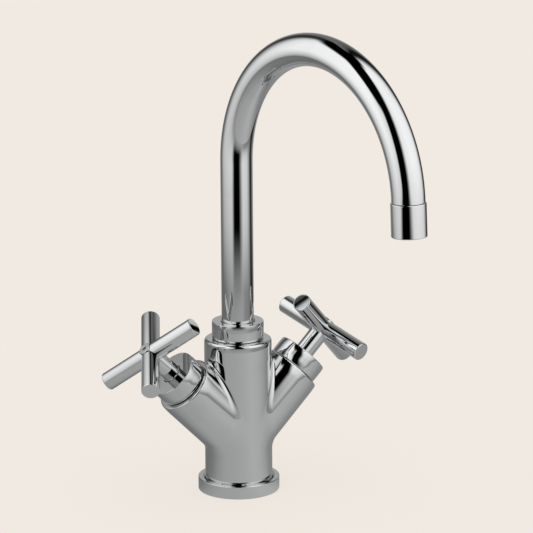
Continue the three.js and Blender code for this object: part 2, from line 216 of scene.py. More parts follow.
# Materials.
class Value:
    # A shader value that takes part in Python sums.
    def __init__(self, graph, socket):
        self.graph = graph
        self.socket = socket

    def sum(self, operation, *others):
        sockets = dict(enumerate((self,) + others))
        return self.graph.node("ShaderNodeMath", {"operation": operation}, sockets)

    def __add__(self, other):
        return self.sum("ADD", other)

    def __radd__(self, other):
        return self.sum("ADD", other)

    def __mul__(self, other):
        return self.sum("MULTIPLY", other)

    def __rmul__(self, other):
        return self.sum("MULTIPLY", other)

    def __sub__(self, other):
        return self.sum("SUBTRACT", other)

    def __rsub__(self, other):
        return self.graph.node("ShaderNodeMath", {"operation": "SUBTRACT"}, {0: other, 1: self})

    def __truediv__(self, other):
        return self.sum("DIVIDE", other)

    def between(self, low, high):
        # 0 below low, 1 above high and smooth in between.
        settings = {"interpolation_type": "SMOOTHSTEP"}
        sockets = {"Value": self, "From Min": low, "From Max": high}
        return self.graph.node("ShaderNodeMapRange", settings, sockets)


class Graph:
    def __init__(self, holder):
        holder.use_nodes = True
        self.tree = holder.node_tree
        self.tree.nodes.clear()

    def node(self, kind, settings=None, sockets=None, output=0):
        made = self.tree.nodes.new(kind)
        for name, value in (settings or {}).items():
            if name == "stops":
                self.setStops(made.color_ramp, value)
            else:
                setattr(made, name, value)
        for name, value in (sockets or {}).items():
            if isinstance(value, Value):
                self.tree.links.new(value.socket, made.inputs[name])
            else:
                made.inputs[name].default_value = value
        if not made.outputs:
            return None
        return Value(self, made.outputs[output])

    def setStops(self, ramp, stops):
        while len(ramp.elements) < len(stops):
            ramp.elements.new(0.5)
        for element, (place, colour) in zip(ramp.elements, stops):
            element.position = place
            element.color = colour

    def place(self):
        return self.node("ShaderNodeTexCoord", output="Object")

    def noise(self, scale, detail=3.0, roughness=0.5, stretch=(1, 1, 1)):
        where = self.node("ShaderNodeMapping", None, {"Vector": self.place(), "Scale": stretch})
        sockets = {"Vector": where, "Scale": scale, "Detail": detail, "Roughness": roughness}
        return self.node("ShaderNodeTexNoise", None, sockets)

    def mixed(self, factor, first, second):
        sockets = {0: factor, 6: first, 7: second}
        return self.node("ShaderNodeMix", {"data_type": "RGBA"}, sockets, output=2)

    def bump(self, height, strength, depth):
        sockets = {"Height": height, "Strength": strength, "Distance": depth * mm}
        return self.node("ShaderNodeBump", None, sockets)

    def surface(self, **sockets):
        named = {name.replace("_", " "): value for name, value in sockets.items()}
        shader = self.node("ShaderNodeBsdfPrincipled", None, named)
        self.node("ShaderNodeOutputMaterial", None, {"Surface": shader})


def material(name):
    made = bpy.data.materials.new(name)
    return made, Graph(made)


chromeLook = {
    "colour": (0.70, 0.705, 0.71, 1),
    "hazeColour": (0.66, 0.665, 0.67, 1),
    "cloud": (38.0, 4.0, 0.55),
    "cloudWindow": (0.52, 0.74),
    "hairlines": (260.0, 2.0, 0.6, (1, 1, 14)),
    "hairlineWindow": (0.60, 0.72),
    "roughness": 0.028,
    "smudgeRoughness": 0.05,
    "hairlineRoughness": 0.018,
    "ripple": (90.0, 2.0, 0.4),
    "rippleStrength": 0.012,
    "rippleDepth": 0.2,
}


def chromePlate(name, smudges):
    # Polished chrome: nearly a mirror, with faint smudges, wiping hairlines and a trace of ripple.
    made, graph = material(name)
    look = chromeLook
    cloud = graph.noise(*look["cloud"]).between(*look["cloudWindow"])
    hairlines = graph.noise(*look["hairlines"]).between(*look["hairlineWindow"])
    roughness = look["roughness"] + cloud * (look["smudgeRoughness"] * smudges)
    graph.surface(
        Base_Color=graph.mixed(cloud, look["colour"], look["hazeColour"]),
        Metallic=1.0,
        Roughness=roughness + hairlines * look["hairlineRoughness"],
        Normal=graph.bump(graph.noise(*look["ripple"]), look["rippleStrength"], look["rippleDepth"]),
    )
    return made


brassLook = {
    "colour": (0.79, 0.60, 0.27, 1),
    "stainColour": (0.55, 0.38, 0.15, 1),
    "stain": (150.0, 5.0, 0.6),
    "stainWindow": (0.42, 0.7),
    "toolMarks": (900.0, 2.0, 0.5, (1, 1, 6)),
    "toolStrength": 0.25,
    "toolDepth": 0.05,
    "roughness": 0.24,
    "stainRoughness": 0.2,
}


def machinedBrass():
    made, graph = material("machinedBrass")
    look = brassLook
    stain = graph.noise(*look["stain"]).between(*look["stainWindow"])
    graph.surface(
        Base_Color=graph.mixed(stain, look["colour"], look["stainColour"]),
        Metallic=1.0,
        Roughness=look["roughness"] + stain * look["stainRoughness"],
        Normal=graph.bump(graph.noise(*look["toolMarks"]), look["toolStrength"], look["toolDepth"]),
    )
    return made


steelLook = {
    "colour": (0.62, 0.62, 0.63, 1),
    "brushedColour": (0.48, 0.48, 0.49, 1),
    "brushing": (700.0, 3.0, 0.6, (1, 1, 8)),
    "strength": 0.2,
    "depth": 0.05,
    "roughness": 0.22,
    "brushedRoughness": 0.18,
}


def satinSteel():
    made, graph = material("satinSteel")
    look = steelLook
    brushed = graph.noise(*look["brushing"])
    graph.surface(
        Base_Color=graph.mixed(brushed, look["colour"], look["brushedColour"]),
        Metallic=1.0,
        Roughness=look["roughness"] + brushed * look["brushedRoughness"],
        Normal=graph.bump(brushed, look["strength"], look["depth"]),
    )
    return made


rubberLook = {
    "colour": (0.016, 0.016, 0.017, 1),
    "dustColour": (0.045, 0.044, 0.043, 1),
    "dust": (120.0, 4.0, 0.6),
    "dustWindow": (0.5, 0.8),
    "grain": (1400.0, 3.0, 0.6),
    "grainStrength": 0.35,
    "grainDepth": 0.05,
    "roughness": 0.55,
    "dustRoughness": 0.25,
}


def sealRubber():
    made, graph = material("sealRubber")
    look = rubberLook
    dust = graph.noise(*look["dust"]).between(*look["dustWindow"])
    graph.surface(
        Base_Color=graph.mixed(dust, look["colour"], look["dustColour"]),
        Roughness=look["roughness"] + dust * look["dustRoughness"],
        Normal=graph.bump(graph.noise(*look["grain"]), look["grainStrength"], look["grainDepth"]),
    )
    return made


ceramicLook = {
    "colour": (0.90, 0.88, 0.83, 1),
    "speckColour": (0.74, 0.71, 0.66, 1),
    "specks": (1900.0, 3.0, 0.7),
    "speckWindow": (0.62, 0.78),
    "strength": 0.1,
    "depth": 0.02,
    "roughness": 0.14,
    "speckRoughness": 0.2,
}


def lappedCeramic():
    made, graph = material("lappedCeramic")
    look = ceramicLook
    speck = graph.noise(*look["specks"]).between(*look["speckWindow"])
    graph.surface(
        Base_Color=graph.mixed(speck, look["colour"], look["speckColour"]),
        Roughness=look["roughness"] + speck * look["speckRoughness"],
        Normal=graph.bump(speck, look["strength"], look["depth"]),
    )
    return made


acetalLook = {
    "colour": (0.80, 0.80, 0.78, 1),
    "cloudColour": (0.70, 0.70, 0.68, 1),
    "cloud": (220.0, 4.0, 0.55),
    "strength": 0.12,
    "depth": 0.05,
    "roughness": 0.34,
    "cloudRoughness": 0.14,
}


def mouldedAcetal():
    made, graph = material("mouldedAcetal")
    look = acetalLook
    cloud = graph.noise(*look["cloud"])
    graph.surface(
        Base_Color=graph.mixed(cloud, look["colour"], look["cloudColour"]),
        Roughness=look["roughness"] + cloud * look["cloudRoughness"],
        Normal=graph.bump(cloud, look["strength"], look["depth"]),
    )
    return made


fibreLook = {
    "colour": (0.36, 0.09, 0.06, 1),
    "strandColour": (0.52, 0.17, 0.11, 1),
    "strands": (1100.0, 5.0, 0.7, (1, 3, 1)),
    "strength": 0.4,
    "depth": 0.05,
    "roughness": 0.7,
    "strandRoughness": 0.2,
}


def pressedFibre():
    made, graph = material("pressedFibre")
    look = fibreLook
    strands = graph.noise(*look["strands"])
    graph.surface(
        Base_Color=graph.mixed(strands, look["colour"], look["strandColour"]),
        Roughness=look["roughness"] + strands * look["strandRoughness"],
        Normal=graph.bump(strands, look["strength"], look["depth"]),
    )
    return made


enamelLook = {
    "hot": ((0.050, 0.004, 0.004, 1), (0.075, 0.008, 0.007, 1)),
    "cold": ((0.004, 0.010, 0.050, 1), (0.008, 0.016, 0.075, 1)),
    "cloud": (800.0, 3.0, 0.5),
    "roughness": 0.16,
    "cloudRoughness": 0.08,
    "coat": 0.6,
}


def markEnamel(side):
    # The dot is so dark that its red or blue hardly shows.
    made, graph = material(side + "Enamel")
    look = enamelLook
    cloud = graph.noise(*look["cloud"])
    graph.surface(
        Base_Color=graph.mixed(cloud, *look[side]),
        Roughness=look["roughness"] + cloud * look["cloudRoughness"],
        Coat_Weight=look["coat"],
    )
    return made


chromePolish = chromePlate("chromePolish", 0.6)
chromeHandled = chromePlate("chromeHandled", 1.0)
brass = machinedBrass()
steel = satinSteel()
rubber = sealRubber()
ceramic = lappedCeramic()
acetal = mouldedAcetal()
fibre = pressedFibre()
hotEnamel = markEnamel("hot")
coldEnamel = markEnamel("cold")
print("materials ready")

# Body casting.
bodySize = {
    "radius": 23.0,
    "top": 107.0,
    "rim": 2.0,
    "rollDrop": 0.25,
    "rollRun": 6.0,
    "footRadius": 24.5,
    "footTop": 3.0,
    "neckRadius": 15.5,
    "neckTop": 111.0,
    "armRadius": 21.0,
    "armEnd": 59.0,
    "armRim": 0.9,
    "armRollDrop": 0.42,
    "armRollRun": 7.0,
    "crotchRound": 2.6,
    "sides": 192,
    "stub": -8.0,
    "neckFrom": 100.0,
    "remeshSize": 0.85,
    "polishRounds": 8,
    "layingSteps": 4,
    "rollPast": 1.2,
    "slopeStep": 0.002,
    "leastSlope": 0.2,
}
boreSize = {
    "start": -2.0,
    "inletX": 10.0,
    "inletRadius": 5.0,
    "inletDepth": 14.0,
    "studY": 11.0,
    "studRadius": 4.0,
    "studDepth": 15.0,
    "valveRadius": 10.5,
    "valveSeat": 32.0,
    "valveMouth": 62.0,
    "bearingRadius": 12.3,
    "bearingFloor": 78.0,
    "bearingMouth": 115.0,
    "chamberRadius": 8.0,
    "chamberFloor": 60.0,
    "chamberMouth": 79.0,
    "sealInner": 19.5,
    "sealOuter": 22.5,
    "sealDepth": 2.0,
    "sealStart": -1.0,
    "sealSoft": 0.05,
}


def barrel(name, radius, low, high, place=None, sides=96):
    return turnedPiece(name, [(radius, low), (radius, high)], sides=sides, place=place)


def barrelField(radial, along, radius, end, rim, rollDrop, rollRun):
    # How far points stand off a barrel that the polishing wheel has rolled off towards its end.
    roll = np.clip(1 - (end * mm - along) / (rollRun * mm), 0, bodySize["rollPast"]) ** 2
    out = radial - (radius - rim) * mm + roll * rollDrop * mm
    past = along - (end - rim) * mm
    beyond = np.hypot(np.maximum(out, 0), np.maximum(past, 0))
    return np.minimum(np.maximum(out, past), 0) + beyond - rim * mm


def bodyField(points):
    # The column and both arms, with a round of one radius in the crotches.
    radial = np.hypot(points[:, 0], points[:, 1])
    rim, drop, run = bodySize["rim"], bodySize["rollDrop"], bodySize["rollRun"]
    column = barrelField(radial, points[:, 2], bodySize["radius"], bodySize["top"], rim, drop, run)
    arms = np.full(len(points), 1.0)
    rim, drop, run = bodySize["armRim"], bodySize["armRollDrop"], bodySize["armRollRun"]
    for side in ("hot", "cold"):
        joint = joints[side + "_handle_turn"]
        axis = np.array(Vector(joint["axis"]).normalized())
        offset = points - np.array(joint["pos_m"])
        along = offset @ axis
        radial = np.linalg.norm(offset - np.outer(along, axis), axis=1)
        arm = barrelField(radial, along, bodySize["armRadius"], bodySize["armEnd"], rim, drop, run)
        arms = np.minimum(arms, np.maximum(arm, -along))
    blend = bodySize["crotchRound"] * mm
    overlap = np.hypot(np.maximum(blend - column, 0), np.maximum(blend - arms, 0))
    return np.maximum(np.minimum(column, arms), blend) - overlap


def fieldSlope(field, points):
    step = bodySize["slopeStep"] * mm
    slopes = np.empty_like(points)
    for axis in range(3):
        shift = np.zeros(3)
        shift[axis] = step
        slopes[:, axis] = (field(points + shift) - field(points - shift)) / (2 * step)
    return slopes


def polished(piece, field, rounds):
    # Relaxes the mesh and lays its points on the true surface, in turns.
    mesh = piece.data
    points = meshPoints(mesh)
    ends = np.empty(len(mesh.edges) * 2, int)
    mesh.edges.foreach_get("vertices", ends)
    ends = ends.reshape(-1, 2)
    neighbours = np.bincount(ends.ravel(), minlength=len(points))[:, None]
    for i in range(rounds):
        total = np.zeros_like(points)
        np.add.at(total, ends[:, 0], points[ends[:, 1]])
        np.add.at(total, ends[:, 1], points[ends[:, 0]])
        points = 0.5 * points + 0.5 * total / neighbours
        for j in range(bodySize["layingSteps"]):
            slope = fieldSlope(field, points)
            steepness = np.maximum((slope**2).sum(1), bodySize["leastSlope"])
            points = points - slope * (field(points) / steepness)[:, None]
    mesh.vertices.foreach_set("co", points.ravel())
    mesh.update()


def bodyCasting():
    # The column runs on below the deck until the polish is done, then it is cut off at the deck.
    radius, sides = bodySize["radius"], bodySize["sides"]
    body = barrel("bodyCasting", radius, bodySize["stub"], bodySize["top"], sides=sides)
    for side in ("hot", "cold"):
        arm = barrel("arm", bodySize["armRadius"], 0, bodySize["armEnd"], armPlace(side))
        combine(body, arm, "UNION")
    only(body)
    remesh = body.modifiers.new("remesh", "REMESH")
    remesh.mode = "VOXEL"
    remesh.voxel_size = bodySize["remeshSize"] * mm
    bpy.ops.object.modifier_apply(modifier=remesh.name)
    polished(body, bodyField, bodySize["polishRounds"])
    bpy.ops.object.mode_set(mode="EDIT")
    bpy.ops.mesh.select_all(action="SELECT")
    bpy.ops.mesh.bisect(plane_co=(0, 0, 0), plane_no=(0, 0, 1), clear_inner=True, use_fill=True)
    bpy.ops.object.mode_set(mode="OBJECT")
    combine(body, barrel("foot", bodySize["footRadius"], 0, bodySize["footTop"]), "UNION")
    neck = barrel("neck", bodySize["neckRadius"], bodySize["neckFrom"], bodySize["neckTop"])
    combine(body, neck, "UNION")
    boreBody(body)
    trueNormals(body, bodyField)
    return finished(body, "mixer_body", "chrome_casting", chromePolish, "body_casting")


def boreBody(body):
    sizes = boreSize
    groove = [
        (sizes["sealInner"], sizes["sealStart"]),
        (sizes["sealOuter"], sizes["sealStart"]),
        (sizes["sealOuter"], sizes["sealDepth"]),
        (sizes["sealInner"], sizes["sealDepth"]),
    ]
    combine(body, turnedPiece("sealGroove", groove, sizes["sealSoft"], closed=True), "DIFFERENCE")
    for x in (-sizes["inletX"], sizes["inletX"]):
        place = Matrix.Translation((x * mm, 0, 0))
        inlet = barrel("inlet", sizes["inletRadius"], sizes["start"], sizes["inletDepth"], place)
        combine(body, inlet, "DIFFERENCE")
    place = Matrix.Translation((0, sizes["studY"] * mm, 0))
    stud = barrel("stud", sizes["studRadius"], sizes["start"], sizes["studDepth"], place)
    combine(body, stud, "DIFFERENCE")
    bearing = barrel("bearing", sizes["bearingRadius"], sizes["bearingFloor"], sizes["bearingMouth"])
    combine(body, bearing, "DIFFERENCE")
    chamber = barrel("chamber", sizes["chamberRadius"], sizes["chamberFloor"], sizes["chamberMouth"])
    combine(body, chamber, "DIFFERENCE")
    for side in ("hot", "cold"):
        valve = barrel("valve", sizes["valveRadius"], sizes["valveSeat"], sizes["valveMouth"], armPlace(side))
        combine(body, valve, "DIFFERENCE")


def trueNormals(piece, field):
    # The joined casting gets the normals of its field.
    only(piece)
    bpy.ops.object.shade_smooth_by_angle(angle=smoothUpTo["joined"])
    points = meshPoints(piece.data)
    slope = fieldSlope(field, points)
    slope /= np.maximum(np.linalg.norm(slope, axis=1), 1e-9)[:, None]
    layNormals(piece, [(abs(field(points)) < onSurfaceWithin, slope)], facingAlike["casting"])


bodyCasting()
print("body casting ready")

# Base ring and seal.
baseRingSize = {
    "radius": 27.8,
    "height": 9.0,
    "footBore": 24.8,
    "bore": 23.3,
    "groove": 1.3,
    "step": 3.3,
    "rim": 0.6,
    "sides": 192,
}
baseSealSize = {"outer": 22.2, "inner": 19.8, "height": 1.7, "rim": 0.5}


def baseRing():
    outline = [
        (baseRingSize["footBore"], 0),
        (baseRingSize["radius"], 0),
        (baseRingSize["radius"], baseRingSize["height"]),
        (baseRingSize["bore"] + baseRingSize["groove"], baseRingSize["height"]),
        (baseRingSize["bore"], baseRingSize["height"] - baseRingSize["groove"]),
        (baseRingSize["bore"], baseRingSize["step"]),
        (baseRingSize["footBore"], baseRingSize["step"]),
    ]
    ring = turnedPiece("baseRing", outline, baseRingSize["rim"], closed=True, sides=baseRingSize["sides"])
    return finished(ring, "mixer_body", "chrome", chromePolish, "base_ring")


def baseSeal():
    outline = [
        (baseSealSize["inner"], 0),
        (baseSealSize["outer"], 0),
        (baseSealSize["outer"], baseSealSize["height"]),
        (baseSealSize["inner"], baseSealSize["height"]),
    ]
    seal = turnedPiece("baseSeal", outline, baseSealSize["rim"], closed=True)
    return finished(seal, "mixer_body", "rubber", rubber, "base_seal")


baseRing()
baseSeal()

# Spout collar.
collarSize = {
    "radius": 17.65,
    "low": 107.25,
    "top": 119.0,
    "bore": 15.8,
    "lip": 11.2,
    "lipFrom": 113.6,
    "lipBevel": 0.9,
    "rim": 1.1,
    "rollDrop": 0.18,
    "rollRun": 3.5,
    "sides": 160,
}


def spoutCollar():
    sizes = collarSize
    outline = [
        (sizes["bore"], sizes["low"]),
        *rolledWall(sizes["radius"], sizes["low"], sizes["top"], sizes["rollDrop"], sizes["rollRun"]),
        (sizes["lip"] + sizes["lipBevel"], sizes["top"]),
        (sizes["lip"], sizes["top"] - sizes["lipBevel"]),
        (sizes["lip"], sizes["lipFrom"]),
        (sizes["bore"], sizes["lipFrom"]),
    ]
    collar = turnedPiece("spoutCollar", outline, sizes["rim"], closed=True, sides=sizes["sides"])
    return finished(collar, "mixer_body", "chrome", chromePolish, "spout_collar")


spoutCollar()
print("base and collar ready")

# Spout tube.
spoutSize = {
    "tubeRadius": 10.93,
    "foot": 113.7,
    "riserTop": 230.2,
    "bendRadius": 88.2,
    "bendAngle": 177.2,
    "restTurn": 9.9,
    "sides": 72,
    "riserSteps": 24,
    "bendSteps": 144,
}


def spoutTube():
    low = spoutSize["foot"] * mm
    high = spoutSize["riserTop"] * mm
    deselectAll()
    bpy.ops.mesh.primitive_circle_add(
        vertices=spoutSize["sides"],
        radius=spoutSize["tubeRadius"] * mm,
        fill_type="NGON",
        location=(0, 0, low),
    )
    tube = bpy.context.object
    tube.name = "spoutTube"
    bpy.ops.object.transform_apply(location=True, rotation=False, scale=False)
    bpy.ops.object.mode_set(mode="EDIT")
    bpy.ops.mesh.select_all(action="SELECT")
    rise = (high - low) / spoutSize["riserSteps"]
    for i in range(spoutSize["riserSteps"]):
        bpy.ops.mesh.extrude_region_move(TRANSFORM_OT_translate={"value": (0, 0, rise)})
    bpy.ops.mesh.spin(
        steps=spoutSize["bendSteps"],
        angle=-math.radians(spoutSize["bendAngle"]),
        center=(0, -spoutSize["bendRadius"] * mm, high),
        axis=(1, 0, 0),
        dupli=False,
    )
    bpy.ops.mesh.select_all(action="SELECT")
    bpy.ops.mesh.remove_doubles(threshold=mergeWithin)
    bpy.ops.mesh.normals_make_consistent(inside=False)
    bpy.ops.object.mode_set(mode="OBJECT")
    bpy.ops.object.shade_smooth_by_angle(angle=smoothUpTo["turned"])
    settle(tube, Matrix.Rotation(math.radians(spoutSize["restTurn"]), 4, "Z"))
    return finished(tube, "spout", "chrome", chromePolish, "spout_tube")


def mouthPlace():
    # The frame of the spout's mouth: Z runs with the water.
    bend = math.radians(spoutSize["bendAngle"])
    reach = spoutSize["bendRadius"] * (1 - math.cos(bend)) * mm
    height = (spoutSize["riserTop"] + spoutSize["bendRadius"] * math.sin(bend)) * mm
    turn = Matrix.Rotation(math.radians(spoutSize["restTurn"]), 4, "Z")
    return turn @ Matrix.Translation((0, -reach, height)) @ Matrix.Rotation(bend, 4, "X")


spoutTube()
print("spout tube ready")

# Aerator.
aeratorSize = {
    "radius": 11.62,
    "length": 22.4,
    "mouth": 8.8,
    "lip": 1.2,
    "cavity": 9.7,
    "cavityFrom": 4.0,
    "collarFrom": 0.45,
    "spigot": 9.0,
    "spigotBore": 7.6,
    "spigotFrom": -5.0,
    "rim": 0.5,
    "sides": 144,
}
screenSize = {
    "radius": 9.3,
    "from": 17.4,
    "to": 18.4,
    "rimWidth": 1.1,
    "rimSoft": 0.3,
    "rimSides": 96,
    "wire": 0.16,
    "wireSides": 8,
    "pitch": 0.85,
}


def aeratorHousing():
    sizes = aeratorSize
    lipFrom = sizes["length"] - sizes["lip"]
    outline = [
        (sizes["spigotBore"], sizes["spigotFrom"]),
        (sizes["spigot"], sizes["spigotFrom"]),
        (sizes["spigot"], sizes["collarFrom"]),
        (sizes["radius"], sizes["collarFrom"]),
        (sizes["radius"], sizes["length"]),
        (sizes["mouth"], sizes["length"]),
        (sizes["mouth"], lipFrom),
        (sizes["cavity"], lipFrom),
        (sizes["cavity"], sizes["cavityFrom"]),
        (sizes["spigotBore"], sizes["cavityFrom"]),
    ]
    housing = turnedPiece("aeratorHousing", outline, sizes["rim"], True, sizes["sides"], mouthPlace())
    return finished(housing, "spout", "chrome", chromePolish, "aerator_housing")


def screenWires(height, turned):
    # One layer of straight wires, each cut to the chord of the screen's circle.
    count = int(screenSize["radius"] / screenSize["pitch"])
    wires = []
    for i in range(-count, count + 1):
        across = i * screenSize["pitch"]
        chord = 2 * math.sqrt(screenSize["radius"] ** 2 - across**2) * mm
        deselectAll()
        bpy.ops.mesh.primitive_cylinder_add(
            vertices=screenSize["wireSides"],
            radius=screenSize["wire"] * mm,
            depth=chord,
        )
        wire = bpy.context.object
        lay = Matrix.Translation((0, across * mm, height * mm)) @ Matrix.Rotation(math.pi / 2, 4, "Y")
        settle(wire, Matrix.Rotation(turned, 4, "Z") @ lay)
        wires.append(wire)
    return wires


def aeratorScreen():
    low, high = screenSize["from"], screenSize["to"]
    outer = screenSize["radius"]
    inner = outer - screenSize["rimWidth"]
    outline = [(inner, low), (outer, low), (outer, high), (inner, high)]
    rim = turnedPiece("aeratorScreen", outline, screenSize["rimSoft"], True, screenSize["rimSides"])
    middle = (low + high) / 2
    wires = screenWires(middle - screenSize["wire"], 0)
    wires += screenWires(middle + screenSize["wire"], math.pi / 2)
    only(rim)
    for wire in wires:
        wire.select_set(True)
    bpy.ops.object.join()
    bpy.ops.object.shade_smooth_by_angle(angle=smoothUpTo["turned"])
    settle(rim, mouthPlace())
    return finished(rim, "spout", "steel", steel, "aerator_screen")


aeratorHousing()
aeratorScreen()
print("aerator ready")

# Bonnet rings.
bonnetSize = {
    "radius": 17.7,
    "low": 59.55,
    "face": 71.8,
    "wall": 14.7,
    "faceInside": 70.3,
    "bore": 6.8,
    "rim": 0.7,
    "rollDrop": 0.32,
    "rollRun": 4.5,
    "sides": 160,
}


def bonnetRing(side):
    sizes = bonnetSize
    outline = [
        (sizes["wall"], sizes["low"]),
        *rolledWall(sizes["radius"], sizes["low"], sizes["face"], sizes["rollDrop"], sizes["rollRun"]),
        (sizes["bore"], sizes["face"]),
        (sizes["bore"], sizes["faceInside"]),
        (sizes["wall"], sizes["faceInside"]),
    ]
    ring = turnedPiece(side + "BonnetRing", outline, sizes["rim"], True, sizes["sides"], armPlace(side))
    return finished(ring, "mixer_body", "chrome", chromePolish, side + "_bonnet_ring")


# Cross handles.
handleSize = {
    "centre": 94.0,
    "axisHole": 0.01,
    "spokeRadius": 6.25,
    "spokeReach": 38.0,
    "spokeRim": 0.7,
    "stemRadius": 6.55,
    "stemFoot": 71.4,
    "stemTop": 95.0,
    "recessFrom": 96.75,
    "recessTo": 104.0,
    "recessSides": 64,
    "groove": 0.25,
}
capSize = {
    "radius": 4.4,
    "seat": 97.75,
    "proud": 0.6,
    "soft": 0.35,
    "sides": 96,
    "dotRadius": 1.2,
    "dotGap": 0.3,
    "dotWell": 0.6,
    "dotFoot": 0.5,
    "dotEdge": 0.1,
    "dotCrown": 0.02,
    "dotSoft": 0.15,
    "dotSides": 48,
}
restTurns = {"hot": math.radians(-35.8), "cold": math.radians(22.2)}


def spoke(turn):
    reach = handleSize["spokeReach"]
    outline = [
        (handleSize["axisHole"], -reach),
        (handleSize["spokeRadius"], -reach),
        (handleSize["spokeRadius"], reach),
        (handleSize["axisHole"], reach),
    ]
    lay = Matrix.Translation((0, 0, handleSize["centre"] * mm)) @ Matrix.Rotation(turn, 4, "Z")
    place = lay @ Matrix.Rotation(math.pi / 2, 4, "X")
    return turnedPiece("spoke", outline, handleSize["spokeRim"], place=place)


def crossHandle(side):
    handle = spoke(0)
    handle.name = side + "CrossHandle"
    combine(handle, spoke(math.pi / 2), "UNION")
    stemRadius = handleSize["stemRadius"]
    stemOutline = [(stemRadius, handleSize["stemFoot"]), (stemRadius, handleSize["stemTop"])]
    combine(handle, turnedPiece("stem", stemOutline), "UNION")
    recessRadius = capSize["radius"] + handleSize["groove"]
    recessOutline = [(recessRadius, handleSize["recessFrom"]), (recessRadius, handleSize["recessTo"])]
    combine(handle, turnedPiece("recess", recessOutline, sides=handleSize["recessSides"]), "DIFFERENCE")
    centre = (0, 0, handleSize["centre"] * mm)
    barrels = [
        (centre, (1, 0, 0), handleSize["spokeRadius"] * mm),
        (centre, (0, 1, 0), handleSize["spokeRadius"] * mm),
        (centre, (0, 0, 1), stemRadius * mm),
    ]
    trueBarrels(handle, barrels)
    settle(handle, armPlace(side, restTurns[side]))
    return finished(handle, side + "_handle", "chrome", chromeHandled, side + "_cross_handle")


def indexCap(side, enamel):
    sizes = capSize
    top = handleSize["centre"] + handleSize["spokeRadius"] + sizes["proud"]
    wellRadius = sizes["dotRadius"] + sizes["dotGap"]
    capOutline = [
        (handleSize["axisHole"], sizes["seat"]),
        (sizes["radius"], sizes["seat"]),
        (sizes["radius"], top),
        (wellRadius, top),
        (wellRadius, top - sizes["dotWell"]),
        (handleSize["axisHole"], top - sizes["dotWell"]),
    ]
    place = armPlace(side, restTurns[side])
    cap = turnedPiece(side + "IndexCap", capOutline, sizes["soft"], sides=sizes["sides"], place=place)
    finished(cap, side + "_handle", "chrome", chromeHandled, side + "_index_cap")
    dotOutline = [
        (sizes["dotRadius"], top - sizes["dotFoot"]),
        (sizes["dotRadius"], top - sizes["dotEdge"]),
        (handleSize["axisHole"], top - sizes["dotCrown"]),
    ]
    dot = turnedPiece(side + "IndexDot", dotOutline, sizes["dotSoft"], sides=sizes["dotSides"], place=place)
    finished(dot, side + "_handle", side + "_mark", enamel, side + "_index_dot")


for side, enamel in (("hot", hotEnamel), ("cold", coldEnamel)):
    bonnetRing(side)
    crossHandle(side)
    indexCap(side, enamel)
print("bonnets and handles ready")

# Pieces that stay as the frame has them.
slotMaterials = {
    "chrome": chromePolish,
    "chrome_casting": chromePolish,
    "brass": brass,
    "steel": steel,
    "rubber": rubber,
    "ceramic": ceramic,
    "plastic": acetal,
    "fibre": fibre,
    "hot_mark": hotEnamel,
    "cold_mark": coldEnamel,
}
for part in frame["record"]["subparts"]:
    slots = frame["nodes"][part["node"]].data.materials
    slots.clear()
    slots.append(slotMaterials[part["material_slot"]])
print("frame pieces dressed")

# Camera.
view = {
    "azimuth": math.radians(-28.6),
    "elevation": math.radians(14.73),
    "roll": math.radians(-0.32),
    "distance": 2.4,
    "lens": 239.87,
    "aimHeight": 0.16,
    "aimRight": 0.01974,
    "aimUp": -0.00335,
    "sensor": 36,
    "farthest": 50,
}


def addCamera():
    azimuth, elevation = view["azimuth"], view["elevation"]
    back = Vector((
        math.sin(azimuth) * math.cos(elevation),
        -math.cos(azimuth) * math.cos(elevation),
        math.sin(elevation),
    ))
    right = Vector((math.cos(azimuth), math.sin(azimuth), 0))
    up = back.cross(right)
    place = Vector((0, 0, view["aimHeight"])) + back * view["distance"]
    place += right * view["aimRight"] + up * view["aimUp"]
    camera = bpy.data.objects.new("camera", bpy.data.cameras.new("camera"))
    bpy.context.scene.collection.objects.link(camera)
    turn = Matrix((right, up, back)).transposed().to_4x4()
    camera.matrix_world = Matrix.Translation(place) @ turn @ Matrix.Rotation(view["roll"], 4, "Z")
    camera.data.lens = view["lens"]
    camera.data.sensor_width = view["sensor"]
    camera.data.clip_end = view["farthest"]
    bpy.context.scene.camera = camera


addCamera()

# Floor, tent and light.
studio = {
    "floorSize": 14.0,
    "floorColour": (0.880, 0.823, 0.760, 1),
    "floorEvenness": 0.86,
    "roomLight": 0.80,
    "mirroredRoom": 0.01,
    "sunLight": 0.62,
    "sunAngle": math.radians(70),
    "sunPlace": (-0.9, -0.9, 1.6),
    "sunAim": (0.3, 0.3, -1.6),
    "tentRadius": 0.42,
    "tentHeight": 0.80,
    "tentSegments": 96,
    "tentRings": 48,
}
# Strengths of the cloth and of the grey table below it, by degrees round the tent. 0 is towards the camera,
# and positive is to its right.
clothStrengths = (
    (-180, 0.50), (-167, 0.38), (-156, 0.10), (-145, 0.08), (-134, 0.28), (-123, 0.64), (-112, 1.00),
    (-95, 1.20), (-45, 1.27), (-27, 1.08), (-17, 0.95), (0, 0.90), (17, 1.02), (32, 1.14),
    (50, 1.26), (75, 1.20), (88, 1.05), (97, 0.74), (105, 0.36), (112, 0.08), (118, 0.01), (131, 0.01),
    (140, 0.28), (152, 0.44), (180, 0.50),
)
tableStrengths = (
    (-180, 0.40), (-150, 0.24), (-120, 0.20), (-90, 0.25), (-65, 0.37), (-40, 0.45), (-10, 0.47),
    (20, 0.51), (45, 0.56), (70, 0.53), (90, 0.45), (110, 0.33), (135, 0.28), (180, 0.40),
)
# How far the cloth has taken over from the table's grey, by metres up the tent.
clothRise = ((0.03, 0.0), (0.09, 0.38), (0.15, 0.58), (0.25, 0.84), (0.33, 1.0))
